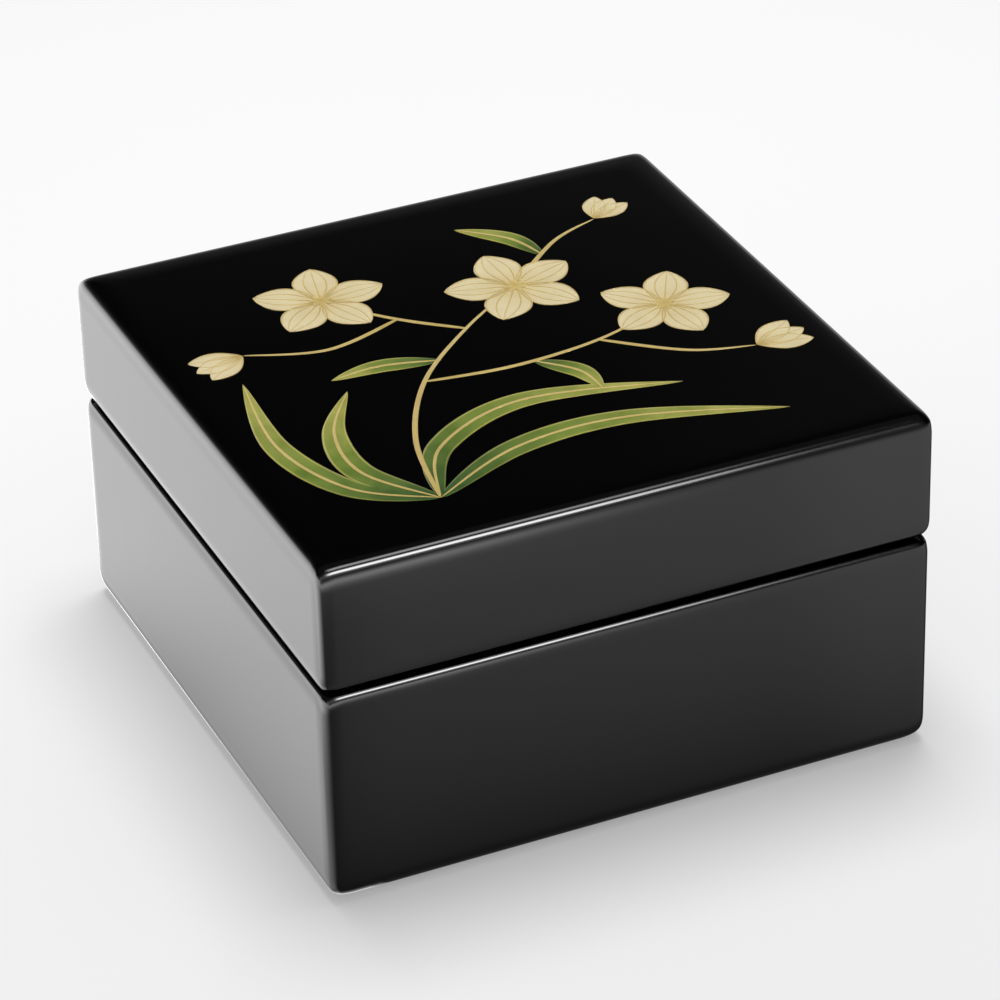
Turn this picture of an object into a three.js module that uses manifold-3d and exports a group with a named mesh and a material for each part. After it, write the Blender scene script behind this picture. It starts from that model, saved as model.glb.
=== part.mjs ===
// Square lacquered box whose lid lifts off over a raised inner lip
// Millimetres, +Z up. +X runs to the right along the front, the front faces -Y,
// and the origin is at the middle of the underside.
import * as THREE from "three";
import { mergeVertices } from "three/addons/utils/BufferGeometryUtils.js";
import Module from "manifold-3d";

const wasm = await Module();
wasm.setup();

// Outside of the closed box
const boxSide = 120; // width and depth
const caseHeight = 43.7; // table to the rim of the case
const lidHeight = 26; // lower edge of the lid to its top
const cornerRadius = 3; // upright corners
const lidTopRound = 2.6; // top edges of the lid
const seamRound = 2; // edges above and below the seam
const undersideRound = 2.9; // edges that the box stands behind

// Boards
const wallThickness = 6; // case walls
const lidPanelThickness = 5;
const bottomThickness = 5;
const tongueHeight = 2; // step of each panel that reaches in between the walls
const mouthChamfer = 0.8; // inner lower edge of the lid walls

// Shallow relief under the box, so that it stands on a rim
const reliefDepth = 0.6;
const reliefMargin = 9; // outside face to the relief
const reliefRadius = 3;

// Raised inner lip that the lid seats over
const lipThickness = 3;
const lipRise = 7; // above the rim of the case
const lipRound = 1.2; // both top edges
const lipCornerRadius = 1.5;

// Splines that lock the mitred corners
const splineThickness = 2;
const splineCover = 1.4; // wood between a spline and the inner corner
const splineEnd = 11; // middle of a case spline to the end of its joint
const groundCover = 0.6; // lacquer and ground over the splines

// Clearances
const glueGap = 0.1; // every glued joint
const seatGap = 0.3; // lower edge of the lid above the rim
const lidClearance = 0.4; // lip to lid wall, on each side

// Fineness of the curves
const arcSegments = 5;
const edgeSegments = 6;

// Sizes and heights that follow from the ones above
const caseInnerSide = boxSide - 2 * wallThickness;
const lipOuterSide = caseInnerSide - 2 * glueGap;
const lipInnerSide = lipOuterSide - 2 * lipThickness;
const lidInnerSide = lipOuterSide + 2 * lidClearance;
const wallBottom = bottomThickness + glueGap;
const lidBottom = caseHeight + seatGap;
const lidTop = lidBottom + lidHeight;
const lidPanelBottom = lidTop - lidPanelThickness;
const lidWallTop = lidPanelBottom - glueGap;
const splineSide = boxSide - 2 * groundCover;
const splineLeg = 2 * wallThickness - splineCover * Math.SQRT2;
const spare = boxSide / 10; // how far a cutting solid reaches past its work

const lacquer = { color: 0x0b0b0d, roughness: 0.15, metalness: 0 };
const bareWood = { color: 0xc8a878, roughness: 0.75, metalness: 0 };

// Side n faces -Y turned by n quarter turns, and corner n follows side n
const sides = ["front", "right", "back", "left"];
const corners = ["front_right", "back_right", "back_left", "front_left"];

// Solid for joining and cutting from a closed three.js geometry
function toSolid(geometry) {
  geometry.deleteAttribute("normal");
  geometry.deleteAttribute("uv");
  const welded = mergeVertices(geometry);
  const vertProperties = new Float32Array(welded.attributes.position.array);
  const triVerts = new Uint32Array(welded.index.array);
  return new wasm.Manifold(new wasm.Mesh({ numProp: 3, vertProperties, triVerts }));
}

// Named mesh with a finish of its own from a solid
function toMesh(name, solid, finish) {
  const { vertProperties, triVerts } = solid.getMesh();
  const geometry = new THREE.BufferGeometry();
  geometry.setAttribute("position", new THREE.BufferAttribute(vertProperties, 3));
  geometry.setIndex(new THREE.BufferAttribute(triVerts, 1));
  geometry.computeVertexNormals();
  const mesh = new THREE.Mesh(geometry, new THREE.MeshStandardMaterial(finish));
  mesh.name = name;
  return mesh;
}

// Plan of a square with sharp corners
function square(side) {
  const edge = side / 2;
  const shape = new THREE.Shape();
  shape.moveTo(-edge, -edge);
  shape.lineTo(edge, -edge);
  shape.lineTo(edge, edge);
  shape.lineTo(-edge, edge);
  return shape;
}

// Plan of a square with round corners
function roundedSquare(side, radius) {
  const centre = side / 2 - radius;
  const shape = new THREE.Shape();
  for (let turn = 0; turn < 4; turn += 1) {
    const x = turn === 0 || turn === 3 ? centre : -centre;
    const y = turn < 2 ? centre : -centre;
    const start = (turn * Math.PI) / 2;
    shape.absarc(x, y, radius, start, start + Math.PI / 2, false);
  }
  return shape;
}

// Upright prism of a plan between two heights, turned by quarter turns
function prism(shape, bottom, top, quarters = 0) {
  const geometry = new THREE.ExtrudeGeometry(shape, {
    depth: top - bottom,
    bevelEnabled: false,
    curveSegments: arcSegments,
  });
  geometry.translate(0, 0, bottom);
  geometry.rotateZ((quarters * Math.PI) / 2);
  return toSolid(geometry);
}

// Upright prism with its end edges rounded, or chamfered when they have one segment
function easedPrism(shape, bottom, top, size, segments = edgeSegments) {
  const geometry = new THREE.ExtrudeGeometry(shape, {
    depth: top - bottom - 2 * size,
    bevelThickness: size,
    bevelSize: size,
    bevelOffset: -size,
    bevelSegments: segments,
    curveSegments: arcSegments,
  });
  geometry.translate(0, 0, bottom + size);
  return toSolid(geometry);
}

// Block with the outline of the box whose top edges alone are rounded
function blockRoundedAbove(bottom, top, round) {
  const whole = easedPrism(roundedSquare(boxSide, cornerRadius), bottom - spare, top, round);
  return whole.intersect(prism(square(boxSide + spare), bottom, top + spare));
}

// Block with the outline of the box whose lower edges alone are rounded
function blockRoundedBelow(bottom, top, round) {
  const whole = easedPrism(roundedSquare(boxSide, cornerRadius), bottom, top + spare, round);
  return whole.intersect(prism(square(boxSide + spare), bottom - spare, top));
}

// Part of the plan that one mitred board keeps, less half a glue joint at each diagonal
function mitreWedge(side) {
  const tip = -glueGap * Math.SQRT1_2;
  const shape = new THREE.Shape();
  shape.moveTo(0, tip);
  shape.lineTo(-boxSide, tip - boxSide);
  shape.lineTo(boxSide, tip - boxSide);
  return prism(shape, -spare, lidTop + spare, side);
}

// Triangular spline in a corner, or its pocket when it grows by a glue gap
function spline(corner, height, growth) {
  const outer = boxSide / 2 + spare;
  const leg = splineLeg + growth * Math.SQRT2 + 2 * spare;
  const triangle = new THREE.Shape();
  triangle.moveTo(outer - leg, -outer);
  triangle.lineTo(outer, -outer);
  triangle.lineTo(outer, leg - outer);
  const reach = splineThickness / 2 + growth;
  const outline = roundedSquare(splineSide + 2 * growth, cornerRadius - groundCover + growth);
  const plate = prism(outline, height - reach, height + reach);
  return plate.intersect(prism(triangle, height - spare, height + spare, corner));
}

// Four mitred boards from a ring, with pockets for splines at the given heights
function mitredBoards(name, ring, splineHeights) {
  const pockets = splineHeights.flatMap((height) =>
    corners.map((_, corner) => spline(corner, height, glueGap)),
  );
  const cut = pockets.reduce((rest, pocket) => rest.subtract(pocket), ring);
  return sides.map((side, index) =>
    toMesh(`${name}_${side}`, cut.intersect(mitreWedge(index)), lacquer),
  );
}

// Walls of the lid, rounded outside at the seam and eased inside for the lip
function lidWalls() {
  const block = blockRoundedBelow(lidBottom, lidWallTop, seamRound);
  const hollow = prism(square(lidInnerSide), lidBottom - spare, lidTop);
  const mouthSide = lidInnerSide + 2 * mouthChamfer;
  const mouthTop = lidBottom + mouthChamfer;
  const mouth = easedPrism(square(mouthSide), lidBottom - spare, mouthTop, mouthChamfer, 1);
  return mitredBoards("lid_wall", block.subtract(hollow).subtract(mouth), lidSplineHeights());
}

// Top board of the lid, lying on its walls and stepped in between them
function lidTopPanel() {
  const block = blockRoundedAbove(lidPanelBottom, lidTop, lidTopRound);
  const tongueSide = lidInnerSide - 2 * glueGap;
  const tongueBottom = lidPanelBottom - tongueHeight;
  const tongue = prism(square(tongueSide), tongueBottom, lidTop - lidTopRound);
  return toMesh("lid_top_panel", block.add(tongue), lacquer);
}

// Walls of the case, rounded outside at the rim
function caseWalls() {
  const block = blockRoundedAbove(wallBottom, caseHeight, seamRound);
  const hollow = prism(square(caseInnerSide), wallBottom - spare, caseHeight + spare);
  return mitredBoards("case_wall", block.subtract(hollow), caseSplineHeights());
}

// Bottom board of the case, under its walls and stepped in between them
function caseBottomPanel() {
  const block = blockRoundedBelow(0, bottomThickness, undersideRound);
  const tongueSide = caseInnerSide - 2 * glueGap;
  const tongueTop = bottomThickness + tongueHeight;
  const tongue = prism(square(tongueSide), undersideRound, tongueTop);
  const reliefSide = boxSide - 2 * reliefMargin;
  const relief = prism(roundedSquare(reliefSide, reliefRadius), -spare, reliefDepth);
  return toMesh("case_bottom_panel", block.add(tongue).subtract(relief), lacquer);
}

// Lip boards, standing on the bottom board and rising past the rim
function innerLip() {
  const bottom = bottomThickness + tongueHeight + glueGap;
  const top = caseHeight + lipRise;
  const plan = roundedSquare(lipOuterSide, lipCornerRadius);
  plan.holes.push(square(lipInnerSide));
  const whole = easedPrism(plan, bottom - spare, top, lipRound);
  const ring = whole.intersect(prism(square(boxSide), bottom, top + spare));
  return mitredBoards("inner_lip", ring, []);
}

// One spline at the middle of each lid corner
function lidSplineHeights() {
  return [(lidBottom + lidWallTop) / 2];
}

// One spline near each end of each case corner
function caseSplineHeights() {
  return [wallBottom + splineEnd, caseHeight - splineEnd];
}

// Splines of one storey, named by their corners
function splines(name, height) {
  return corners.map((corner, index) =>
    toMesh(`${name}_${corner}`, spline(index, height, 0), bareWood),
  );
}

const [lowerSplines, upperSplines] = caseSplineHeights();
const [lidSplines] = lidSplineHeights();

const group = new THREE.Group();
group.name = "lacquer_box";
group.add(caseBottomPanel(), ...caseWalls(), ...innerLip());
group.add(...splines("case_spline_lower", lowerSplines));
group.add(...splines("case_spline_upper", upperSplines));
group.add(lidTopPanel(), ...lidWalls());
group.add(...splines("lid_spline", lidSplines));

export default group;
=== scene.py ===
import math

import bpy
from mathutils import Matrix, Vector


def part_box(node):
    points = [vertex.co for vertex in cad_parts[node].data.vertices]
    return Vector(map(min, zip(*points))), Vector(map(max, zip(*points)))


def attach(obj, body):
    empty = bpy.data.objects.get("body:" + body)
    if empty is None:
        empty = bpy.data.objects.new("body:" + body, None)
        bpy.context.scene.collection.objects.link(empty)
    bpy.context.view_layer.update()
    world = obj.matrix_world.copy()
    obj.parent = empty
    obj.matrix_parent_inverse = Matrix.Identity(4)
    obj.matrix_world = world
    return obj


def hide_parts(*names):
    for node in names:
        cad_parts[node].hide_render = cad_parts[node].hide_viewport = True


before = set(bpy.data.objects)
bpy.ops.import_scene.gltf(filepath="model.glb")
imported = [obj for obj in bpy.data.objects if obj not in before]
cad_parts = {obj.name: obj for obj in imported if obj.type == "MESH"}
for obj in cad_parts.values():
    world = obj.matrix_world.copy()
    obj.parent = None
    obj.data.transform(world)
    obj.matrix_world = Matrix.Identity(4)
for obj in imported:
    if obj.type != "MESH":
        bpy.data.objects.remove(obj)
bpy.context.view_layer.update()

mm = 0.001
print("frame loaded")

# Heights and half widths that the skins share with the boards, in metres
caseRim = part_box("case_wall_front")[1].z
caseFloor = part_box("case_bottom_panel")[1].z
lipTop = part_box("inner_lip_front")[1].z
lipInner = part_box("inner_lip_right")[0].x
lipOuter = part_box("inner_lip_right")[1].x
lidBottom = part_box("lid_wall_front")[0].z
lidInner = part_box("lid_wall_right")[0].x
lidCeiling, lidTop = (corner.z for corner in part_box("lid_top_panel"))
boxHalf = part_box("lid_top_panel")[1].x
sides = ("front", "right", "back", "left")


# Node helpers

def newMaterial(name):
    material = bpy.data.materials.new(name)
    material.use_nodes = True
    return material, material.node_tree


def addNode(tree, kind, **values):
    node = tree.nodes.new(kind)
    for key, value in values.items():
        setattr(node, key, value)
    return node


def feed(tree, source, target):
    tree.links.new(source, target)


def ramp(tree, factor, stops):
    node = addNode(tree, "ShaderNodeValToRGB")
    while len(node.color_ramp.elements) < len(stops):
        node.color_ramp.elements.new(0.5)
    for element, (position, colour) in zip(node.color_ramp.elements, stops):
        element.position = position
        element.color = (*colour, 1)
    feed(tree, factor, node.inputs["Fac"])
    return node.outputs["Color"]


def calculate(tree, operation, *terms):
    # one Math node, whose terms are numbers or sockets
    node = addNode(tree, "ShaderNodeMath", operation=operation)
    for socket, term in zip(node.inputs, terms):
        if isinstance(term, (int, float)):
            socket.default_value = term
        else:
            feed(tree, term, socket)
    return node.outputs[0]


def addRelief(tree, shader, height, depth):
    # fine relief of so many metres on the normal of a shader
    relief = addNode(tree, "ShaderNodeBump")
    relief.inputs["Strength"].default_value = 1
    relief.inputs["Distance"].default_value = depth
    feed(tree, height, relief.inputs["Height"])
    feed(tree, relief.outputs["Normal"], shader.inputs["Normal"])


def noise(tree, place, scale, detail):
    node = addNode(tree, "ShaderNodeTexNoise")
    node.inputs["Scale"].default_value = scale
    node.inputs["Detail"].default_value = detail
    feed(tree, place, node.inputs["Vector"])
    return node.outputs["Fac"]


def makeGroup(name, inputs, outputs):
    tree = bpy.data.node_groups.new(name, "ShaderNodeTree")
    for label, value in inputs.items():
        socket = tree.interface.new_socket(label, in_out="INPUT", socket_type="NodeSocketFloat")
        socket.default_value = value
    for label in outputs:
        tree.interface.new_socket(label, in_out="OUTPUT", socket_type="NodeSocketFloat")
    return tree, addNode(tree, "NodeGroupInput").outputs, addNode(tree, "NodeGroupOutput").inputs


# One coat of lacquer: slow ripples, fine rub marks and a few specks of dust
filmNoise = {
    "rubMarks": (900, 5),  # scale and detail of each noise
    "rubPatches": (28, 4),
    "ripples": (42, 1.5),
}


def makeLacquerFilm():
    tree, given, result = makeGroup(
        "lacquerFilm",
        {"Base Roughness": 0.1, "Rub Amount": 0.04, "Speck Scale": 260.0, "Speck Reach": 0.035},
        ("Roughness", "Height", "Specks"),
    )
    place = addNode(tree, "ShaderNodeTexCoord").outputs["Object"]
    marks, patches, ripples = (noise(tree, place, *values) for values in filmNoise.values())
    rubbed = calculate(tree, "MULTIPLY", marks, patches)
    rough = calculate(tree, "MULTIPLY_ADD", rubbed, given["Rub Amount"], given["Base Roughness"])
    feed(tree, rough, result["Roughness"])
    feed(tree, ripples, result["Height"])
    dots = addNode(tree, "ShaderNodeTexVoronoi", feature="F1")
    feed(tree, given["Speck Scale"], dots.inputs["Scale"])
    feed(tree, place, dots.inputs["Vector"])
    specks = calculate(tree, "LESS_THAN", dots.outputs["Distance"], given["Speck Reach"])
    feed(tree, specks, result["Specks"])
    return tree


lacquerFilm = makeLacquerFilm()


def makeLacquer(name, values):
    material, tree = newMaterial(name)
    shader = tree.nodes["Principled BSDF"]
    shader.inputs["IOR"].default_value = values["ior"]
    film = addNode(tree, "ShaderNodeGroup", node_tree=lacquerFilm)
    film.inputs["Base Roughness"].default_value = values["roughness"]
    film.inputs["Rub Amount"].default_value = values["rub"]
    film.inputs["Speck Scale"].default_value = values["speckScale"]
    feed(tree, film.outputs["Roughness"], shader.inputs["Roughness"])
    colour = ramp(tree, film.outputs["Specks"], [(0, values["black"]), (1, values["speck"])])
    feed(tree, colour, shader.inputs["Base Color"])
    addRelief(tree, shader, film.outputs["Height"], values["ripple"])
    return material


outsideLook = {
    "ior": 1.5,
    "roughness": 0.1,
    "rub": 0.08,
    "speckScale": 300.0,
    "black": (0.0012, 0.0012, 0.0013),
    "speck": (0.012, 0.012, 0.012),
    "ripple": 0.02 * mm,
}
insideLook = dict(outsideLook, roughness=0.16, ripple=0.03 * mm)
undersideLook = dict(outsideLook, roughness=0.38, rub=0.2, ripple=0.04 * mm, black=(0.006, 0.006, 0.006))

outsideLacquer = makeLacquer("outsideLacquer", outsideLook)
insideLacquer = makeLacquer("insideLacquer", insideLook)
undersideLacquer = makeLacquer("undersideLacquer", undersideLook)
print("lacquer materials made")


# Bare wood of the splines
woodLook = {
    "ior": 1.45,
    "grainScale": (260, 260, 2400),  # the grain lies level
    "grainDetail": 6,
    "dark": (0.3, (0.42, 0.27, 0.13)),  # where in the grain, and its colour
    "light": (0.7, (0.66, 0.48, 0.28)),
    "roughness": (0.55, 0.85),
}


def makeWood(name, values):
    material, tree = newMaterial(name)
    shader = tree.nodes["Principled BSDF"]
    shader.inputs["IOR"].default_value = values["ior"]
    stretch = addNode(tree, "ShaderNodeMapping")
    stretch.inputs["Scale"].default_value = values["grainScale"]
    feed(tree, addNode(tree, "ShaderNodeTexCoord").outputs["Object"], stretch.inputs["Vector"])
    grain = noise(tree, stretch.outputs["Vector"], 1, values["grainDetail"])
    feed(tree, ramp(tree, grain, [values["dark"], values["light"]]), shader.inputs["Base Color"])
    smooth, rough = values["roughness"]
    feed(tree, calculate(tree, "MULTIPLY_ADD", grain, rough - smooth, smooth), shader.inputs["Roughness"])
    return material


bareWood = makeWood("bareWood", woodLook)
for name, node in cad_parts.items():
    if "spline" in name:
        node.data.materials.clear()
        node.data.materials.append(bareWood)


# Skins of lacquer over the boards

skin = {
    "caseCornerHard": 1.8 * mm,  # upright corners
    "lidCornerHard": 1.2 * mm,
    "cornerGrowth": 0.2,  # how much rounder a corner gets for each metre inwards
    "softRadius": 14.0 * mm,  # slow roll of a wall before its hard edge
    "softAngle": 8.0,  # degrees that it turns
    # each edge from its flat to the wall: how far the surface has turned in degrees, at what radius
    "lidTop": ((2.5, 80.0), (8, 12.0), (82, 2.3), (90, 18.0)),
    "lidLower": ((60, 1.9), (84, 4.0), (90, 14.0)),
    "rim": ((54, 0.35), (80, 1.6), (90, 13.0)),
    "underside": ((82, 3.8), (90, 14.0)),
    "rimSink": 0.27 * mm,  # how far the lacquer of the rim is rubbed down
    "innerCorner": 1.6 * mm,
    "innerFillet": 1.2 * mm,
    "mouthRound": 0.8 * mm,
    "lipRound": 1.2 * mm,
    "lipCorner": 1.5 * mm,
    "lipFillet": 0.35 * mm,
    "reliefHalf": 51 * mm,
    "reliefDepth": 0.6 * mm,
    "reliefCorner": 3.0 * mm,
    "flatSupport": 0.4 * mm,  # strip of flat beside each round, which keeps its shading there
    "hardSteps": 10,  # lines in a quarter round
    "arcStep": 7.0,  # most degrees between the lines of a rolled edge
    "leastSteps": 3,  # fewest lines in one of its spans
    "leastRadius": 0.15 * mm,
}
outsideFaces, insideFaces, undersideFaces = range(3)


def rolledEdge(spans):
    # steps along an edge from one flat to the next: distance run along the first, distance left from it
    along, away, start = 0.0, 0.0, 0.0
    steps = [(along, away)]
    for end, radius in spans:
        count = math.ceil((end - start) / min(skin["arcStep"], (end - start) / skin["leastSteps"]))
        for step in range(1, count + 1):
            low = math.radians(start + (end - start) * (step - 1) / count)
            high = math.radians(start + (end - start) * step / count)
            along += radius * mm * (math.sin(high) - math.sin(low))
            away += radius * mm * (math.cos(low) - math.cos(high))
            steps.append((along, away))
        start = end
    return steps


def ringPoints(half, hard, soft):
    # a square with rolled corners, with one more point on the flat either side of each corner
    hard = max(hard, skin["leastRadius"]) / mm
    soft = max(soft / mm, hard)
    bend = skin["softAngle"]
    steps = rolledEdge(((bend, soft), (90 - bend, hard), (90, soft)))
    reach = steps[-1][0]
    support = skin["flatSupport"]
    corner = [(half, half - reach - support)]
    corner += [(half - away, half - reach + along) for along, away in steps]
    corner.append((half - reach - support, half))
    points = []
    for turn in range(4):
        for x, y in corner:
            for _ in range(turn):
                x, y = -y, x
            points.append((x, y))
    return points


def roundArc(half, height, radius, start, end, plan, finish):
    # quarter of a circle in the section, from one angle to another in degrees
    stations = []
    for step in range(skin["hardSteps"] + 1):
        angle = math.radians(start + (end - start) * step / skin["hardSteps"])
        out, up = radius * math.cos(angle), radius * math.sin(angle)
        stations.append((half + out, height + up, plan, finish))
    return stations


def edgeStations(edge, height, climb, plan):
    # section along a rolled edge between a flat at some height and the outside of the walls
    reach = edge[-1][0]
    return [(boxHalf - reach + along, height + climb * away, plan, outsideFaces) for along, away in edge]


def outerPlan(hard):
    # plan of the outside, whose corners get rounder inwards
    def plan(half):
        return hard + skin["cornerGrowth"] * max(boxHalf - half, 0), skin["softRadius"]
    return plan


def plainPlan(radius, at):
    # plan of a square with circular corners, whose radius at one half width is given
    def plan(half):
        return radius + half - at, 0
    return plan


def skinMesh(name, section, materials):
    vertices = []
    for half, height, plan, _ in section:
        vertices += [(x, y, height) for x, y in ringPoints(half, *plan(half))]
    count = len(vertices) // len(section)
    faces = [list(range(count))]
    finishes = [section[0][3]]
    for level in range(len(section) - 1):
        for index in range(count):
            following = (index + 1) % count
            low, high = level * count, (level + 1) * count
            faces.append([low + index, high + index, high + following, low + following])
            finishes.append(section[level + 1][3])
    last = (len(section) - 1) * count
    faces.append([last + index for index in reversed(range(count))])
    finishes.append(section[-1][3])
    mesh = bpy.data.meshes.new(name)
    mesh.from_pydata(vertices, [], faces)
    for material in materials:
        mesh.materials.append(material)
    for polygon, finish in zip(mesh.polygons, finishes):
        polygon.material_index = finish
        polygon.use_smooth = True
    mesh.update()
    piece = bpy.data.objects.new(name, mesh)
    bpy.context.scene.collection.objects.link(piece)
    return piece


def lidSection():
    support = skin["flatSupport"]
    mouth, fillet = skin["mouthRound"], skin["innerFillet"]
    innerPlan = plainPlan(skin["innerCorner"], lidInner)
    plan = outerPlan(skin["lidCornerHard"])
    top, lower = rolledEdge(skin["lidTop"]), rolledEdge(skin["lidLower"])
    topReach, topDrop = top[-1]
    lowerRise = lower[-1][1]
    section = [(boxHalf - topReach - support, lidTop, plan, outsideFaces)]
    section += edgeStations(top, lidTop, -1, plan)
    section.append((boxHalf, lidTop - topDrop - support, plan, outsideFaces))
    section.append((boxHalf, lidBottom + lowerRise + support, plan, outsideFaces))
    section += reversed(edgeStations(lower, lidBottom, 1, plan))
    section += roundArc(lidInner + mouth, lidBottom + mouth, mouth, -90, -180, innerPlan, insideFaces)
    section.append((lidInner, lidBottom + mouth + support, innerPlan, insideFaces))
    section.append((lidInner, lidCeiling - fillet - support, innerPlan, insideFaces))
    section += roundArc(lidInner - fillet, lidCeiling - fillet, fillet, 0, 90, innerPlan, insideFaces)
    section.append((lidInner - fillet - support, lidCeiling, innerPlan, insideFaces))
    return section


def caseSection():
    support = skin["flatSupport"]
    lip, fillet, foot = skin["lipRound"], skin["innerFillet"], skin["lipFillet"]
    relief, depth = skin["reliefHalf"], skin["reliefDepth"]
    plan = outerPlan(skin["caseCornerHard"])
    innerPlan = plainPlan(skin["innerCorner"], lipInner)
    lipPlan = plainPlan(skin["lipCorner"], lipOuter)
    reliefPlan = plainPlan(skin["reliefCorner"], relief)
    rim, under = rolledEdge(skin["rim"]), rolledEdge(skin["underside"])
    rimHeight = caseRim - skin["rimSink"]
    rimDrop, underRise = rim[-1][1], under[-1][1]
    section = [(lipInner - fillet - support, caseFloor, innerPlan, insideFaces)]
    section += roundArc(lipInner - fillet, caseFloor + fillet, fillet, -90, 0, innerPlan, insideFaces)
    section.append((lipInner, caseFloor + fillet + support, innerPlan, insideFaces))
    section.append((lipInner, lipTop - lip - support, innerPlan, insideFaces))
    section += roundArc(lipInner + lip, lipTop - lip, lip, 180, 90, innerPlan, insideFaces)
    section += roundArc(lipOuter - lip, lipTop - lip, lip, 90, 0, lipPlan, insideFaces)
    section.append((lipOuter, lipTop - lip - support, lipPlan, insideFaces))
    section += roundArc(lipOuter + foot, rimHeight + foot, foot, 180, 270, lipPlan, outsideFaces)
    section += edgeStations(rim, rimHeight, -1, plan)
    section.append((boxHalf, rimHeight - rimDrop - support, plan, outsideFaces))
    section.append((boxHalf, underRise + support, plan, outsideFaces))
    section += reversed(edgeStations(under, 0, 1, plan))
    section.append((relief + support, 0, reliefPlan, undersideFaces))
    section.append((relief, 0, reliefPlan, undersideFaces))
    section.append((relief, depth, reliefPlan, undersideFaces))
    section.append((relief - support, depth, reliefPlan, undersideFaces))
    return section


lacquers = [outsideLacquer, insideLacquer, undersideLacquer]
lidSkin = skinMesh("lid_lacquer", lidSection(), lacquers)
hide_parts("lid_top_panel", *("lid_wall_" + side for side in sides))
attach(lidSkin, "lid")

caseSkin = skinMesh("case_lacquer", caseSection(), lacquers)
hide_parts("case_bottom_panel", *("case_wall_" + side for side in sides))
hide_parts(*("inner_lip_" + side for side in sides))
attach(caseSkin, "case")
print("lacquer skins made")


# Paints of the spray on the lid

# Powder and brush marks that the paints share
grainDetail = {"powder": 2, "clouds": 3}


def makePaintGrain():
    tree, given, result = makeGroup(
        "paintGrain",
        {"Powder Scale": 9000.0, "Cloud Scale": 220.0, "Powder Amount": 0.5},
        ("Shade", "Height"),
    )
    place = addNode(tree, "ShaderNodeTexCoord").outputs["Object"]
    powder, clouds = (noise(tree, place, 1, grainDetail[name]) for name in ("powder", "clouds"))
    feed(tree, given["Powder Scale"], powder.node.inputs["Scale"])
    feed(tree, given["Cloud Scale"], clouds.node.inputs["Scale"])
    soft = calculate(tree, "MULTIPLY", clouds, calculate(tree, "SUBTRACT", 1.0, given["Powder Amount"]))
    shade = calculate(tree, "MULTIPLY_ADD", powder, given["Powder Amount"], soft)
    feed(tree, shade, result["Shade"])
    feed(tree, powder, result["Height"])
    return tree


paintGrain = makePaintGrain()
paintBody = {
    "ior": 1.48,
    "stops": (0.0, 0.45, 1.0),  # root, middle and tip of a stroke
    "powderRange": (0.35, 0.65),  # shade of the powder from its low to its high colours
}
# each paint has three colours along a stroke, where the powder is thin and where it is thick
paintLooks = {
    "petalPaint": {
        "slot": "petal_paint",
        "low": ((0.56, 0.44, 0.21), (0.60, 0.50, 0.28), (0.64, 0.54, 0.32)),
        "high": ((0.68, 0.54, 0.28), (0.71, 0.61, 0.37), (0.73, 0.64, 0.41)),
        "metal": 0.0,
        "roughness": (0.38, 0.58),
        "powderAmount": 0.6,
        "relief": 0.008 * mm,
    },
    "leafPaint": {
        "slot": "leaf_paint",
        "low": ((0.012, 0.05, 0.014), (0.11, 0.17, 0.022), (0.30, 0.30, 0.055)),
        "high": ((0.025, 0.09, 0.022), (0.20, 0.26, 0.04), (0.46, 0.43, 0.11)),
        "metal": 0.0,
        "roughness": (0.3, 0.5),
        "powderAmount": 0.35,
        "relief": 0.006 * mm,
    },
    "leafEdgePaint": {
        "slot": "leaf_paint",
        "low": ((0.08, 0.12, 0.02), (0.34, 0.32, 0.06), (0.52, 0.46, 0.11)),
        "high": ((0.14, 0.18, 0.03), (0.50, 0.46, 0.10), (0.68, 0.60, 0.17)),
        "metal": 0.0,
        "roughness": (0.35, 0.55),
        "powderAmount": 0.6,
        "relief": 0.008 * mm,
    },
    "goldPaint": {
        "slot": "gold_paint",
        "low": ((0.60, 0.43, 0.12), (0.66, 0.48, 0.16), (0.70, 0.52, 0.19)),
        "high": ((0.78, 0.60, 0.22), (0.86, 0.67, 0.27), (0.90, 0.72, 0.32)),
        "metal": 0.35,
        "roughness": (0.35, 0.6),
        "powderAmount": 0.7,
        "relief": 0.01 * mm,
    },
}


def makePaint(name, values):
    # colour runs along each stroke from its root to its tip, and the powder shades it
    material, tree = newMaterial(name)
    shader = tree.nodes["Principled BSDF"]
    shader.inputs["IOR"].default_value = paintBody["ior"]
    shader.inputs["Metallic"].default_value = values["metal"]
    grain = addNode(tree, "ShaderNodeGroup", node_tree=paintGrain)
    grain.inputs["Powder Amount"].default_value = values["powderAmount"]
    along = addNode(tree, "ShaderNodeAttribute", attribute_name="along").outputs["Fac"]
    low = ramp(tree, along, list(zip(paintBody["stops"], values["low"])))
    high = ramp(tree, along, list(zip(paintBody["stops"], values["high"])))
    mix = addNode(tree, "ShaderNodeMix", data_type="RGBA")
    factor, thin, thick = (mix.inputs[place] for place in (0, 6, 7))  # its sockets for colours
    shade = addNode(tree, "ShaderNodeMapRange")
    shade.inputs["From Min"].default_value, shade.inputs["From Max"].default_value = paintBody["powderRange"]
    feed(tree, grain.outputs["Shade"], shade.inputs["Value"])
    feed(tree, shade.outputs["Result"], factor)
    feed(tree, low, thin)
    feed(tree, high, thick)
    feed(tree, mix.outputs[2], shader.inputs["Base Color"])
    smooth, rough = values["roughness"]
    gloss = calculate(tree, "MULTIPLY_ADD", shade.outputs["Result"], rough - smooth, smooth)
    feed(tree, gloss, shader.inputs["Roughness"])
    addRelief(tree, shader, grain.outputs["Height"], values["relief"])
    return material


paints = {name: makePaint(name, values) for name, values in paintLooks.items()}


# Geometry Nodes for the strokes and the petals
brush = {
    "leastHalfWidth": 0.02 * mm,
    "profilePoints": 12,
    "petalSteps": 22,  # points from the base of a petal to its tip
    "lineBulge": 0.8,  # how full the lines of a petal bow out, where less is fuller
}


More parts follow.
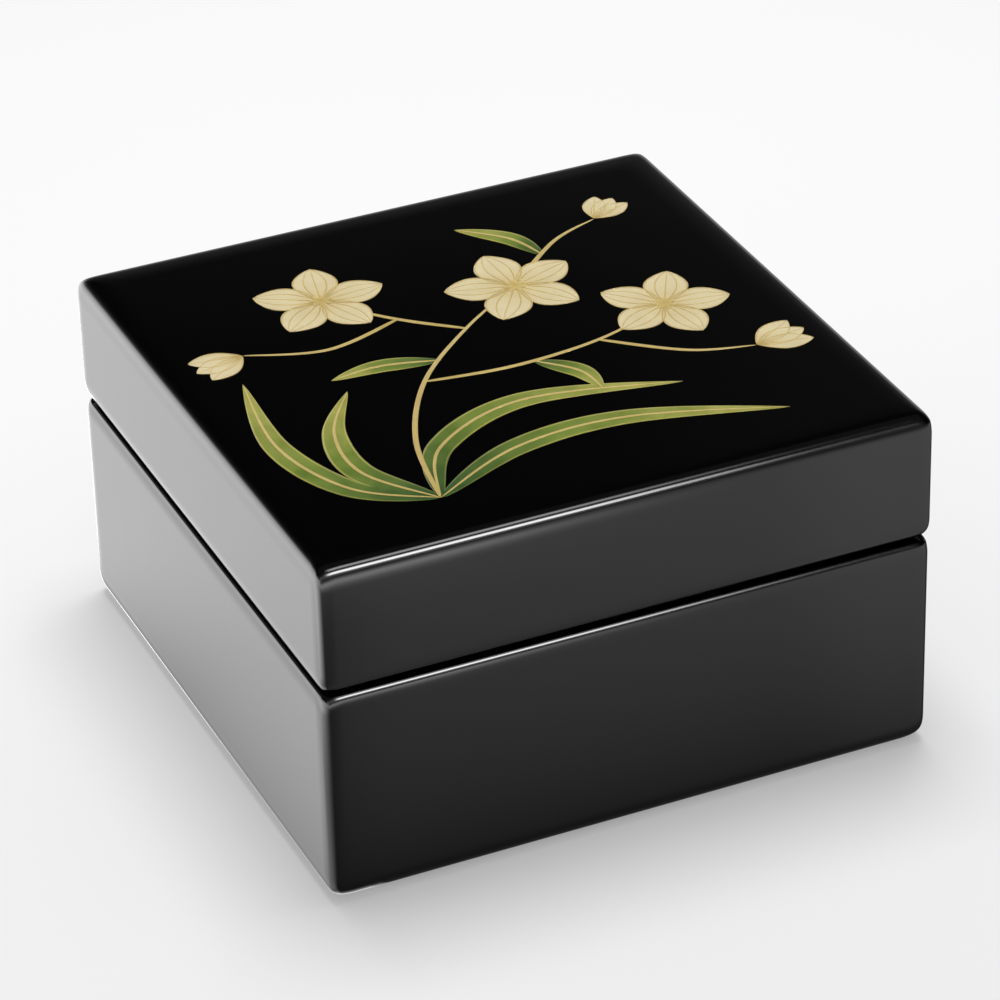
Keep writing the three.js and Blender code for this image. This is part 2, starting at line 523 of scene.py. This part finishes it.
def newGeometryTree(name, inputs):
    tree = bpy.data.node_groups.new(name, "GeometryNodeTree")
    tree.interface.new_socket("Geometry", in_out="INPUT", socket_type="NodeSocketGeometry")
    for label, value in inputs.items():
        kind = "NodeSocketInt" if isinstance(value, int) else "NodeSocketFloat"
        socket = tree.interface.new_socket(label, in_out="INPUT", socket_type=kind)
        socket.default_value = value
    tree.interface.new_socket("Paint", in_out="INPUT", socket_type="NodeSocketMaterial")
    tree.interface.new_socket("Geometry", in_out="OUTPUT", socket_type="NodeSocketGeometry")
    return tree, addNode(tree, "NodeGroupInput").outputs, addNode(tree, "NodeGroupOutput").inputs


def bow(tree, along, power, fullness):
    # nothing at both ends, and 1 at the place between them that the power gives
    bent = calculate(tree, "POWER", along, power)
    wave = calculate(tree, "SINE", calculate(tree, "MULTIPLY", bent, math.pi))
    return calculate(tree, "POWER", calculate(tree, "MAXIMUM", wave, 0.0), fullness)


def bellyWidth(tree, given):
    # way along a stroke and its half width there
    along = addNode(tree, "GeometryNodeSplineParameter").outputs["Factor"]
    full = bow(tree, along, given["Belly Power"], given["Fullness"])
    width = calculate(tree, "MULTIPLY", full, given["Half Width"])
    return along, calculate(tree, "MAXIMUM", width, brush["leastHalfWidth"])


def storeAlong(tree, geometry, along):
    store = addNode(tree, "GeometryNodeStoreNamedAttribute", data_type="FLOAT", domain="POINT")
    store.inputs["Name"].default_value = "along"
    feed(tree, geometry, store.inputs["Geometry"])
    feed(tree, along, store.inputs["Value"])
    return store.outputs["Geometry"]


def flatProfile(tree, thickness, width):
    # a thin lens, as wide as a stroke of radius one, and as thick as the paint
    ring = addNode(tree, "GeometryNodeCurvePrimitiveCircle")
    ring.inputs["Resolution"].default_value = brush["profilePoints"]
    ring.inputs["Radius"].default_value = 1
    squash = addNode(tree, "GeometryNodeTransform")
    scale = addNode(tree, "ShaderNodeCombineXYZ")
    scale.inputs["X"].default_value = 1
    scale.inputs["Z"].default_value = 1
    feed(tree, calculate(tree, "DIVIDE", thickness, width), scale.inputs["Y"])
    feed(tree, ring.outputs["Curve"], squash.inputs["Geometry"])
    feed(tree, scale.outputs["Vector"], squash.inputs["Scale"])
    return squash.outputs["Geometry"]


def sweep(tree, curve, width, given):
    # a flat stroke of paint along a curve
    upright = addNode(tree, "GeometryNodeSetCurveNormal", mode="Z_UP")
    solid = addNode(tree, "GeometryNodeCurveToMesh")
    solid.inputs["Fill Caps"].default_value = True
    feed(tree, curve, upright.inputs["Curve"])
    feed(tree, upright.outputs["Curve"], solid.inputs["Curve"])
    feed(tree, width, solid.inputs["Scale"])
    feed(tree, flatProfile(tree, given["Thickness"], given["Half Width"]), solid.inputs["Profile Curve"])
    return solid.outputs["Mesh"]


def finishTree(tree, geometry, given, result):
    whole = addNode(tree, "GeometryNodeRealizeInstances")
    smooth = addNode(tree, "GeometryNodeSetShadeSmooth")
    paint = addNode(tree, "GeometryNodeSetMaterial")
    feed(tree, geometry, whole.inputs["Geometry"])
    feed(tree, whole.outputs["Geometry"], smooth.inputs["Geometry"])
    feed(tree, smooth.outputs["Geometry"], paint.inputs["Geometry"])
    feed(tree, given["Paint"], paint.inputs["Material"])
    feed(tree, paint.outputs["Geometry"], result["Geometry"])


def makeStrokeTree():
    tree, given, result = newGeometryTree(
        "brushStroke",
        {"Steps": 64, "Half Width": 0.001, "Thickness": 0.00008, "Belly Power": 1.0, "Fullness": 0.7},
    )
    even = addNode(tree, "GeometryNodeResampleCurve")
    feed(tree, given["Geometry"], even.inputs["Curve"])
    feed(tree, given["Steps"], even.inputs["Count"])
    along, width = bellyWidth(tree, given)
    marked = storeAlong(tree, even.outputs["Curve"], along)
    finishTree(tree, sweep(tree, marked, width, given), given, result)
    return tree


def makePetalTree():
    # petals fanned round each flower's middle, whole or as fine lines from base to tip
    tree, given, result = newGeometryTree(
        "petalFan",
        {
            "Petals": 5,
            "Fan": 2 * math.pi,
            "Base": 0.001,
            "Length": 0.012,
            "Petal Width": 0.004,
            "Lines": 1,
            "Spread": 0.0,
            "Half Width": 0.004,
            "Thickness": 0.0001,
            "Belly Power": 1.1,
            "Fullness": 0.8,
            "Line Power": 1.1,
        },
    )
    ends = [addNode(tree, "ShaderNodeCombineXYZ") for _ in range(2)]
    feed(tree, given["Base"], ends[0].inputs["X"])
    feed(tree, given["Length"], ends[1].inputs["X"])
    line = addNode(tree, "GeometryNodeCurvePrimitiveLine")
    feed(tree, ends[0].outputs["Vector"], line.inputs["Start"])
    feed(tree, ends[1].outputs["Vector"], line.inputs["End"])
    even = addNode(tree, "GeometryNodeResampleCurve")
    even.inputs["Count"].default_value = brush["petalSteps"]
    feed(tree, line.outputs["Curve"], even.inputs["Curve"])
    copies = addNode(tree, "GeometryNodeDuplicateElements", domain="SPLINE")
    feed(tree, even.outputs["Curve"], copies.inputs["Geometry"])
    feed(tree, given["Lines"], copies.inputs["Amount"])
    along, width = bellyWidth(tree, given)
    last = calculate(tree, "MAXIMUM", calculate(tree, "SUBTRACT", given["Lines"], 1.0), 1.0)
    side = calculate(tree, "DIVIDE", copies.outputs["Duplicate Index"], last)
    side = calculate(tree, "MULTIPLY", calculate(tree, "MULTIPLY_ADD", side, 2.0, -1.0), given["Spread"])
    bulge = bow(tree, along, given["Line Power"], brush["lineBulge"])
    offset = addNode(tree, "ShaderNodeCombineXYZ")
    shift = calculate(tree, "MULTIPLY", calculate(tree, "MULTIPLY", bulge, side), given["Petal Width"])
    feed(tree, shift, offset.inputs["Y"])
    bend = addNode(tree, "GeometryNodeSetPosition")
    feed(tree, copies.outputs["Geometry"], bend.inputs["Geometry"])
    feed(tree, offset.outputs["Vector"], bend.inputs["Offset"])
    marked = storeAlong(tree, bend.outputs["Geometry"], along)
    petal = sweep(tree, marked, width, given)

    hub = addNode(tree, "GeometryNodePoints")
    feed(tree, given["Petals"], hub.inputs["Count"])
    index = addNode(tree, "GeometryNodeInputIndex").outputs["Index"]
    turn = calculate(tree, "MULTIPLY", calculate(tree, "DIVIDE", index, given["Petals"]), given["Fan"])
    spin = addNode(tree, "ShaderNodeCombineXYZ")
    feed(tree, turn, spin.inputs["Z"])
    fan = addNode(tree, "GeometryNodeInstanceOnPoints")
    feed(tree, hub.outputs["Points"], fan.inputs["Points"])
    feed(tree, petal, fan.inputs["Instance"])
    feed(tree, spin.outputs["Vector"], fan.inputs["Rotation"])

    def read(name, kind):
        node = addNode(tree, "GeometryNodeInputNamedAttribute", data_type=kind)
        node.inputs["Name"].default_value = name
        return node.outputs["Attribute"]

    heads = addNode(tree, "GeometryNodeInstanceOnPoints")
    feed(tree, given["Geometry"], heads.inputs["Points"])
    feed(tree, fan.outputs["Instances"], heads.inputs["Instance"])
    feed(tree, read("turn", "FLOAT_VECTOR"), heads.inputs["Rotation"])
    feed(tree, read("size", "FLOAT_VECTOR"), heads.inputs["Scale"])
    finishTree(tree, heads.outputs["Instances"], given, result)
    return tree


strokeTree = makeStrokeTree()
petalTree = makePetalTree()


def setInputs(modifier, tree, values):
    for item in tree.interface.items_tree:
        if item.item_type == "SOCKET" and item.in_out == "INPUT" and item.name in values:
            modifier[item.identifier] = values[item.name]


def growPiece(name, source, tree, values):
    # runs a tree on a source object and keeps the result as a plain mesh on the lid
    modifier = source.modifiers.new(name, "NODES")
    modifier.node_group = tree
    setInputs(modifier, tree, values)
    bpy.context.scene.collection.objects.link(source)
    depsgraph = bpy.context.evaluated_depsgraph_get()
    mesh = bpy.data.meshes.new_from_object(source.evaluated_get(depsgraph), depsgraph=depsgraph)
    mesh.name = name
    source.modifiers.remove(modifier)
    bpy.data.objects.remove(source)
    piece = bpy.data.objects.new(name, mesh)
    bpy.context.scene.collection.objects.link(piece)
    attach(piece, "lid")
    return piece


def smoothPath(points, steps=12):
    # curve through the given points
    ends = [points[0], *points, points[-1]]
    path = []
    for index in range(1, len(ends) - 2):
        p0, p1, p2, p3 = (Vector(point) for point in ends[index - 1:index + 3])
        for step in range(steps):
            t = step / steps
            path.append(0.5 * (2 * p1 + (p2 - p0) * t + (2 * p0 - 5 * p1 + 4 * p2 - p3) * t ** 2
                               + (3 * p1 - p0 - 3 * p2 + p3) * t ** 3))
    path.append(Vector(points[-1]))
    return path


def pathObject(name, paths, lift):
    curve = bpy.data.curves.new(name, "CURVE")
    curve.dimensions = "3D"
    for points in paths:
        path = smoothPath(points)
        spline = curve.splines.new("POLY")
        spline.points.add(len(path) - 1)
        for target, point in zip(spline.points, path):
            target.co = (point.x * mm, point.y * mm, lidTop + lift, 1)
    return bpy.data.objects.new(name, curve)


def headObject(name, heads, lift):
    # one point for each flower head, with its turn and its size
    mesh = bpy.data.meshes.new(name)
    mesh.from_pydata([(x * mm, y * mm, lidTop + lift) for x, y, _, _ in heads], [], [])
    turns = mesh.attributes.new("turn", "FLOAT_VECTOR", "POINT")
    sizes = mesh.attributes.new("size", "FLOAT_VECTOR", "POINT")
    for index, (_, _, turn, size) in enumerate(heads):
        turns.data[index].vector = (0, 0, math.radians(turn))
        sizes.data[index].vector = (size, size, 1)
    return bpy.data.objects.new(name, mesh)


# Spray of bellflowers and grass, in millimetres on the lid: x to the right, y to the back
spray = {
    "stems": [
        [(-31, -47), (-27, -27), (-17, -8), (-2, 7), (13, 18)],
        [(-17, -8), (0, -10), (18, -8), (34, -2)],
        [(-2, 7), (-12, 16), (-22, 28)],
        [(18, -8), (31, -19), (43, -23)],
        [(13, 18), (27, 31), (38, 36)],
        [(-12, 16), (-28, 11), (-43, 16)],
    ],
    "blades": [
        [(-31, -47), (-44, -37), (-50, -18), (-47, 6)],
        [(-31, -47), (-12, -37), (10, -36), (38, -46)],
        [(-31, -47), (-24, -31), (-4, -22), (25, -29)],
        [(-31, -47), (-40, -33), (-39, -18), (-31, -5)],
    ],
    "leaves": [
        [(-11, -2), (-22, 1), (-32, 0)],
        [(4, -10), (10, -17), (11, -25)],
        [(23, 27), (20, 36), (12, 44)],
    ],
    # each head: x, y, its turn in degrees and its size
    "flowers": [(13, 18, 20, 1.04), (35, -1, 62, 0.98), (-22, 29, 5, 1.0)],
    "buds": [(-43, 16, 172, 0.9), (43, -23, -12, 0.95), (38, 36, 20, 0.8)],
}

# Shapes of its strokes and petals, by the inputs of their trees
brushes = {
    "coat": 0.09 * mm,  # thickness of a coat of paint and of a fine line
    "fineCoat": 0.06 * mm,
    "blade": {"Half Width": 2.7 * mm, "Belly Power": 0.75, "Fullness": 0.75},
    "leaf": {"Half Width": 2.2 * mm, "Belly Power": 0.9, "Fullness": 0.75},
    "leafEdge": 0.17 * mm,  # how far the paler edge shows past a blade or leaf
    "rib": {"Half Width": 0.34 * mm, "Belly Power": 0.7, "Fullness": 0.5},
    "stem": {"Half Width": 0.5 * mm, "Belly Power": 0.55, "Fullness": 0.35},
    "petal": {"Base": 0.4 * mm, "Length": 13 * mm, "Petal Width": 4.4 * mm},
    "bud": {"Petals": 3, "Fan": math.radians(66), "Base": 0.2 * mm, "Length": 11.5 * mm,
            "Petal Width": 2.9 * mm},
    "heart": {"Petals": 7, "Base": 0.0, "Length": 2.4 * mm, "Petal Width": 0.6 * mm},
    "line": {"Spread": 0.96, "Belly Power": 0.6, "Fullness": 0.3},
    "petalLine": {"Lines": 5, "Half Width": 0.13 * mm},
    "budLine": {"Lines": 3, "Half Width": 0.12 * mm},
}


def paintStrokes(name, paths, lift, thickness, paint, stroke):
    values = dict(stroke, Thickness=thickness, Paint=paints[paint])
    growPiece(name, pathObject(name + "Paths", paths, lift), strokeTree, values)


def paintHeads(name, heads, lift, thickness, paint, *shapes):
    values = {"Thickness": thickness, "Paint": paints[paint]}
    for shape in shapes:
        values.update(shape)
    values.setdefault("Half Width", values["Petal Width"])
    growPiece(name, headObject(name + "Heads", heads, lift), petalTree, values)


def makeSpray():
    coat, fine = brushes["coat"], brushes["fineCoat"]
    for name, paths in (("blade", spray["blades"]), ("leaf", spray["leaves"])):
        field = brushes[name]
        edge = dict(field, **{"Half Width": field["Half Width"] + brushes["leafEdge"]})
        paintStrokes("spray_" + name + "_edges", paths, 0, 0.35 * coat, "leafEdgePaint", edge)
        paintStrokes("spray_" + name + "_fields", paths, 0, coat / 2, "leafPaint", field)
    veined = spray["blades"] + spray["leaves"]
    paintStrokes("spray_ribs", veined, coat / 2, fine / 2, "goldPaint", brushes["rib"])
    paintStrokes("spray_stems", spray["stems"], coat / 4, coat / 2, "goldPaint", brushes["stem"])
    petal, bud, line = brushes["petal"], brushes["bud"], brushes["line"]
    flowers, buds = spray["flowers"], spray["buds"]
    paintHeads("spray_petals", flowers, coat / 2, coat / 2, "petalPaint", petal)
    paintHeads("spray_petal_lines", flowers, coat, fine / 2, "goldPaint", petal, line, brushes["petalLine"])
    paintHeads("spray_hearts", flowers, 1.2 * coat, fine, "goldPaint", brushes["heart"])
    paintHeads("spray_buds", buds, coat / 2, coat / 2, "petalPaint", bud)
    paintHeads("spray_bud_lines", buds, coat, fine / 2, "goldPaint", bud, line, brushes["budLine"])


makeSpray()
print("spray painted")


# Floor, lights and camera

studio = {
    "floorSize": 8.0,
    "floorWhiteAndPaintedLight": (0.885, 0.95),  # brightness where nothing shades it, in front and behind: white paper with painted light, darker in front than behind
    "floorTurn": (-0.2, 0.2),  # depths between which it goes from the one to the other
    "floorUnseen": (0.7, 0.7, 0.7, 1),  # plain colour for all light that doesn't reach the camera
    "floorOwnLight": 0.33,  # share of it that no shadow takes away
    "farFloor": (0.3, 0.9),  # distances between which the floor turns plain white
    "roomLight": 0.4,  # soft light from all round
    "roomInGloss": 0.004,  # how dark the room stands in the lacquer
    "backgroundWhite": 0.96,
}
softboxes = {
    "topSoftbox": {"at": (0.05, 0.14, 0.95), "aim": (0, 0, 0.05), "size": (0.45, 0.45), "power": 6.2},
}
mirrored = {
    "groundLift": 0.2 * mm,  # above the floor, where the other sheets stand a little higher
    "sheetLift": 0.3 * mm,
    "fineStep": 2 * mm,  # spacing of the ground sheet near the box, which grows farther out
    "fineReach": 0.17,
    "growth": 1.16,
    "groundReach": 2.0,
    "sweepRadius": 2.0,
    "sweepTurns": (10, 215),  # directions in degrees from the right
    "sweepHighest": 40,  # elevation in degrees
    "sweepFade": (34, 6),  # elevation from which it fades out, and over what way
    "domeRadius": 1.0,
    "domeAcross": (-0.8, 0.6),
    "domeColumns": 71,
    "domeHighest": 120,
    "domeFade": (100, 20),
    "domeEnds": (0.1, 0.05),  # how far in from each side it fades
}
view = {
    "azimuth": -23.647,  # degrees, the front being 0
    "elevation": 30.804,
    "roll": -1.582,
    "distance": 0.95184,  # metres
    "lens": 168.702,  # millimetres
    "sensor": 36,
    "target": (0.02498, 0.05518, 0.0),
}


def makeFloor():
    material, tree = newMaterial("floorPaper")
    tree.nodes.remove(tree.nodes["Principled BSDF"])
    place = addNode(tree, "ShaderNodeTexCoord").outputs["Object"]
    far = addNode(tree, "ShaderNodeVectorMath", operation="LENGTH")
    feed(tree, place, far.inputs[0])
    spread = addNode(tree, "ShaderNodeMapRange", interpolation_type="SMOOTHSTEP")
    spread.inputs["From Min"].default_value, spread.inputs["From Max"].default_value = studio["farFloor"]
    feed(tree, far.outputs["Value"], spread.inputs["Value"])
    share = studio["floorOwnLight"]
    glow = calculate(tree, "MULTIPLY_ADD", spread.outputs["Result"], 1 - share, share)
    deep = addNode(tree, "ShaderNodeSeparateXYZ")
    feed(tree, place, deep.inputs[0])
    # painted light: the floor's white is painted darker in front than behind
    white = addNode(tree, "ShaderNodeMapRange", interpolation_type="SMOOTHSTEP")
    white.inputs["From Min"].default_value, white.inputs["From Max"].default_value = studio["floorTurn"]
    white.inputs["To Min"].default_value, white.inputs["To Max"].default_value = studio["floorWhiteAndPaintedLight"]
    feed(tree, deep.outputs["Y"], white.inputs["Value"])
    own = calculate(tree, "MULTIPLY", glow, white.outputs["Result"])
    lit = calculate(tree, "SUBTRACT", white.outputs["Result"], own)
    light = addNode(tree, "ShaderNodeEmission")
    feed(tree, own, light.inputs["Strength"])
    paper = addNode(tree, "ShaderNodeBsdfDiffuse")
    feed(tree, lit, paper.inputs["Color"])
    seen = addNode(tree, "ShaderNodeAddShader")
    feed(tree, light.outputs["Emission"], seen.inputs[0])
    feed(tree, paper.outputs["BSDF"], seen.inputs[1])
    unseen = addNode(tree, "ShaderNodeBsdfDiffuse")
    unseen.inputs["Color"].default_value = studio["floorUnseen"]
    rays = addNode(tree, "ShaderNodeLightPath").outputs
    direct = calculate(tree, "MAXIMUM", rays["Is Camera Ray"], rays["Is Transmission Ray"])
    choose = addNode(tree, "ShaderNodeMixShader")
    feed(tree, direct, choose.inputs["Fac"])
    feed(tree, unseen.outputs["BSDF"], choose.inputs[1])
    feed(tree, seen.outputs["Shader"], choose.inputs[2])
    feed(tree, choose.outputs["Shader"], tree.nodes["Material Output"].inputs["Surface"])
    half = studio["floorSize"] / 2
    corners = [(-half, -half, 0), (half, -half, 0), (half, half, 0), (-half, half, 0)]
    mesh = bpy.data.meshes.new("floor")
    mesh.from_pydata(corners, [], [(0, 1, 2, 3)])
    mesh.materials.append(material)
    floor = bpy.data.objects.new("floor", mesh)
    bpy.context.scene.collection.objects.link(floor)
    floor.visible_glossy = False


# Surroundings that the lacquer mirrors: ground, sweep behind and lights in front. Only gloss sees them.

def smoothStep(value):
    value = min(max(value, 0), 1)
    return value * value * (3 - 2 * value)


def blend(low, high, share):
    return low + (high - low) * share


def rise(value, start, width):
    # 0 up to a start, 1 from a width past it
    return smoothStep((value - start) / width)


def peak(value, middle, width):
    return math.exp(-((value - middle) / width) ** 2)


def plateau(value, middle, width):
    return math.exp(-((value - middle) / width) ** 4)


# Brightness of the ground, by millimetres out from the box. Three numbers are a level or a gain,
# the place where it starts, and the way over which it comes.
groundLight = {
    "left": 1.15,
    "leftNear": (1.0, 20),  # gain, and the distance in which most of it comes
    "leftRear": (2.05, 0.9),  # least level towards the back, and how much of it counts
    "leftRearStep": (15, 65),
    "leftFar": ((1.3, 32, 75), (0.8, 100, 220)),
    # painted shadow: the mirrored ground darkens at the foot of the box
    "leftFootShadow": (0.42, -0.6, 2.4),
    "leftBegins": (-12, 4),
    "front": 0.17,
    "frontNear": (0.72, 55),
    "frontSlant": 0.44,  # how far to the side the front wall mirrors its ground
    "frontRight": (0.13, 28, 30),
    "frontTilt": (1.07, 0.003, 60),  # level in the middle, change for each millimetre, and how far that goes
    "frontLeftEnd": (0.48, -78, 32),
    "frontShade": 0.8,  # loss far out to the right
    "frontShadeSteps": ((60, 100), (150, 80)),
    "frontBand": (3.7, 165, 37),  # bright band: level, distance and width
    "frontBandEnd": (-5, 95),
    # painted shadow: the mirrored ground darkens at the foot of the front wall
    "frontFootShadow": (0.09, 0, 5),
    "behind": (0.45, 0.6),  # close by and far off
    "behindStep": (0, 400),
    "behindBegins": (55, 10),
    "corner": 1.75,
    "cornerFar": (4.0, 30, 75),
    "cornerFromFront": (5, 90),  # directions in degrees, from straight ahead round to the left
    "cornerToLeft": (105, 45),
}


def leftLevel(left, deep):
    near, reach = groundLight["leftNear"]
    level = groundLight["left"] + near * (1 - math.exp(-max(left, 0) / reach))
    least, share = groundLight["leftRear"]
    level = blend(level, max(level, least), share * rise(deep, *groundLight["leftRearStep"]))
    for gain, start, width in groundLight["leftFar"]:
        level += gain * rise(left, start, width)
    # painted shadow at the foot of the box
    foot, start, width = groundLight["leftFootShadow"]
    return blend(foot, level, rise(left, start, width))


def frontLevel(front, across):
    column = across - groundLight["frontSlant"] * front  # where on the front wall this ground is mirrored
    near, reach = groundLight["frontNear"]
    level = groundLight["front"] + near * (1 - math.exp(-max(front, 0) / reach))
    gain, start, width = groundLight["frontRight"]
    level += gain * rise(column, start, width)
    middle, slope, limit = groundLight["frontTilt"]
    level *= middle + slope * min(max(column, -limit), limit)
    end, start, width = groundLight["frontLeftEnd"]
    level *= blend(end, 1, rise(column, start, width))
    sideStep, outStep = groundLight["frontShadeSteps"]
    level *= 1 - groundLight["frontShade"] * rise(across, *sideStep) * rise(front, *outStep)
    bright, middle, width = groundLight["frontBand"]
    level += bright * peak(front, middle, width) * (1 - rise(across, *groundLight["frontBandEnd"]))
    # painted shadow at the foot of the front wall
    foot, start, width = groundLight["frontFootShadow"]
    return blend(foot, level, rise(front, start, width))


def groundLevel(x, y):
    # millimetres out to the left of the box and out to its front, and the way seen from that corner
    left, front = (-boxHalf - x) / mm, (-boxHalf - y) / mm
    across, deep = x / mm, y / mm
    away, angle = math.hypot(left, front), math.degrees(math.atan2(left, front))
    gain, start, width = groundLight["cornerFar"]
    corner = groundLight["corner"] + gain * rise(away, start, width)
    before = frontLevel(front, across)
    if left > 0 and front > 0:
        return blend(before, corner, rise(angle, *groundLight["cornerFromFront"]))
    close, far = groundLight["behind"]
    behind = blend(close, far, rise(deep, *groundLight["behindStep"]))
    level = blend(before, behind, rise(deep, *groundLight["behindBegins"]))
    if front > 0:
        return level
    beside = blend(corner, leftLevel(left, deep), rise(angle, *groundLight["cornerToLeft"]))
    return blend(level, beside, rise(left, *groundLight["leftBegins"]))


def makeGround():
    line, step = [], mirrored["fineStep"]
    at = 0.0
    while at < mirrored["groundReach"]:
        line.append(at)
        if at > mirrored["fineReach"]:
            step *= mirrored["growth"]
        at += step
    line = [-at for at in reversed(line[1:])] + line
    vertices = [(x, y, mirrored["groundLift"]) for y in line for x in line]
    addSheet("mirroredGround", vertices, len(line), [groundLevel(x, y) for x, y, _ in vertices])


# Brightness of the sweep, by the direction and the elevation in degrees
sweepLight = {
    "left": (3.9, 16, 2.4),  # level low down, elevation at which half is left, and how softly it goes
    "back": (0.6, 16, 2.6),
    "leftHaze": (0.1, 20, 10),  # level, elevation and width
    "backHaze": (0.08, 24, 3),
    "rightHaze": (0.022, 59, 7),  # level, direction up to which it holds, and over what way it ends
    "leftBegins": (82, 26),
    "leftEnds": (185, 30),
}


def hazeLevel(side, elevation):
    low, half, softness = sweepLight[side]
    haze, middle, width = sweepLight[side + "Haze"]
    return low / (1 + math.exp((elevation - half) / softness)) + haze * peak(elevation, middle, width)


def sweepLevel(turn, elevation):
    haze, start, width = sweepLight["rightHaze"]
    back = hazeLevel("back", elevation) + haze * (1 - rise(turn, start, width))
    level = blend(back, hazeLevel("left", elevation), rise(turn, *sweepLight["leftBegins"]))
    return level * (1 - rise(turn, *sweepLight["leftEnds"]))


def makeSweep():
    radius, highest = mirrored["sweepRadius"], mirrored["sweepHighest"]
    start, end = mirrored["sweepTurns"]
    vertices, levels = [], []
    for elevation in range(highest + 1):
        height = radius * math.tan(math.radians(elevation)) + mirrored["sheetLift"]
        fade = 1 - rise(elevation, *mirrored["sweepFade"])
        for turn in range(start, end + 1):
            angle = math.radians(turn)
            vertices.append((radius * math.cos(angle), radius * math.sin(angle), height))
            levels.append(sweepLevel(turn, elevation) * fade)
    addSheet("mirroredSweep", vertices, end - start + 1, levels)


# Brightness of the dome: two short strip lights one over the other, in a dim room.
# Elevation in degrees, and x for one metre of radius
domeLight = {
    "strips": ((24, 24.5, 9.0), (7, 57, 8.2)),  # level, elevation and width
    "stripEnds": ((0.31, 0.09), (0.30, 0.095)),  # x up to which each holds, and over what way it ends
    "stripsBegin": (0.02, 0.14),
    "room": (1.3, 28),  # level low down, and the elevation over which it goes
    "roomRight": (0.82, 0.3, 0.1),  # share that is missing to the right, from which x, over what way
    "roomLeast": 0.08,
}


def domeLevel(x, elevation):
    strips = 0
    for (level, middle, width), end in zip(domeLight["strips"], domeLight["stripEnds"]):
        strips += level * plateau(elevation, middle, width) * (1 - rise(x, *end))
    strips *= rise(x, *domeLight["stripsBegin"])
    low, width = domeLight["room"]
    missing, start, way = domeLight["roomRight"]
    room = low * peak(elevation, 0, width) * (1 - missing * rise(x, start, way))
    return strips + room + domeLight["roomLeast"]


def makeDome():
    radius, columns = mirrored["domeRadius"], mirrored["domeColumns"]
    start, end = mirrored["domeAcross"]
    nearStart, nearEnd = mirrored["domeEnds"]
    vertices, levels = [], []
    for elevation in range(mirrored["domeHighest"] + 1):
        angle = math.radians(elevation)
        fade = 1 - rise(elevation, *mirrored["domeFade"])
        for step in range(columns):
            x = blend(start, end, step / (columns - 1))
            out = math.sqrt(radius ** 2 - x ** 2)
            vertices.append((x, -out * math.cos(angle), out * math.sin(angle) + mirrored["sheetLift"]))
            ends = smoothStep((x - start) / nearStart) * smoothStep((end - x) / nearEnd)
            levels.append(domeLevel(x, elevation) * ends * fade)
    addSheet("mirroredLights", vertices, columns, levels)


def addSheet(name, vertices, wide, levels):
    # grid of points, so many to a row, that shines by the level at each
    faces = []
    for row in range(len(vertices) // wide - 1):
        for column in range(wide - 1):
            low = row * wide + column
            faces.append((low, low + 1, low + wide + 1, low + wide))
    mesh = bpy.data.meshes.new(name)
    mesh.from_pydata(vertices, [], faces)
    glow = mesh.attributes.new("glow", "FLOAT", "POINT")
    for index, level in enumerate(levels):
        glow.data[index].value = level
    material, tree = newMaterial(name)
    tree.nodes.remove(tree.nodes["Principled BSDF"])
    light = addNode(tree, "ShaderNodeEmission")
    strength = addNode(tree, "ShaderNodeAttribute", attribute_name="glow").outputs["Fac"]
    feed(tree, strength, light.inputs["Strength"])
    feed(tree, light.outputs["Emission"], tree.nodes["Material Output"].inputs["Surface"])
    material.cycles.emission_sampling = "NONE"
    mesh.materials.append(material)
    sheet = bpy.data.objects.new(name, mesh)
    bpy.context.scene.collection.objects.link(sheet)
    sheet.visible_camera = sheet.visible_diffuse = False
    sheet.visible_shadow = sheet.visible_transmission = False


def makeSoftbox(name, values):
    lamp = bpy.data.lights.new(name, "AREA")
    lamp.shape = "RECTANGLE"
    lamp.size, lamp.size_y = values["size"]
    lamp.energy = values["power"]
    piece = bpy.data.objects.new(name, lamp)
    place = Vector(values["at"])
    aim = Vector(values["aim"]) - place
    piece.matrix_world = Matrix.Translation(place) @ aim.to_track_quat("-Z", "Y").to_matrix().to_4x4()
    piece.visible_glossy = False
    bpy.context.scene.collection.objects.link(piece)


def makeWorld():
    world = bpy.data.worlds.new("studioAir")
    world.use_nodes = True
    tree = world.node_tree
    rays = addNode(tree, "ShaderNodeLightPath").outputs
    room = studio["roomLight"]
    light = calculate(tree, "MULTIPLY_ADD", rays["Is Glossy Ray"], studio["roomInGloss"] - room, room)
    colour = calculate(tree, "MULTIPLY_ADD", rays["Is Camera Ray"], studio["backgroundWhite"] - room, light)
    feed(tree, colour, tree.nodes["Background"].inputs["Color"])
    bpy.context.scene.world = world


def makeCamera():
    azimuth, elevation = math.radians(view["azimuth"]), math.radians(view["elevation"])
    back = Vector((
        math.sin(azimuth) * math.cos(elevation),
        -math.cos(azimuth) * math.cos(elevation),
        math.sin(elevation),
    ))
    right = Vector((math.cos(azimuth), math.sin(azimuth), 0))
    up = back.cross(right)
    turn = math.radians(view["roll"])
    across = right * math.cos(turn) + up * math.sin(turn)
    upward = up * math.cos(turn) - right * math.sin(turn)
    camera = bpy.data.cameras.new("photoCamera")
    camera.lens = view["lens"]
    camera.sensor_width = view["sensor"]
    piece = bpy.data.objects.new("photoCamera", camera)
    place = Matrix((across, upward, back)).transposed().to_4x4()
    place.translation = Vector(view["target"]) + back * view["distance"]
    piece.matrix_world = place
    bpy.context.scene.collection.objects.link(piece)
    bpy.context.scene.camera = piece


makeFloor()
makeGround()
makeSweep()
makeDome()
makeWorld()
for name, values in softboxes.items():
    makeSoftbox(name, values)
makeCamera()
bpy.context.scene.view_settings.view_transform = "Standard"
print("studio made")
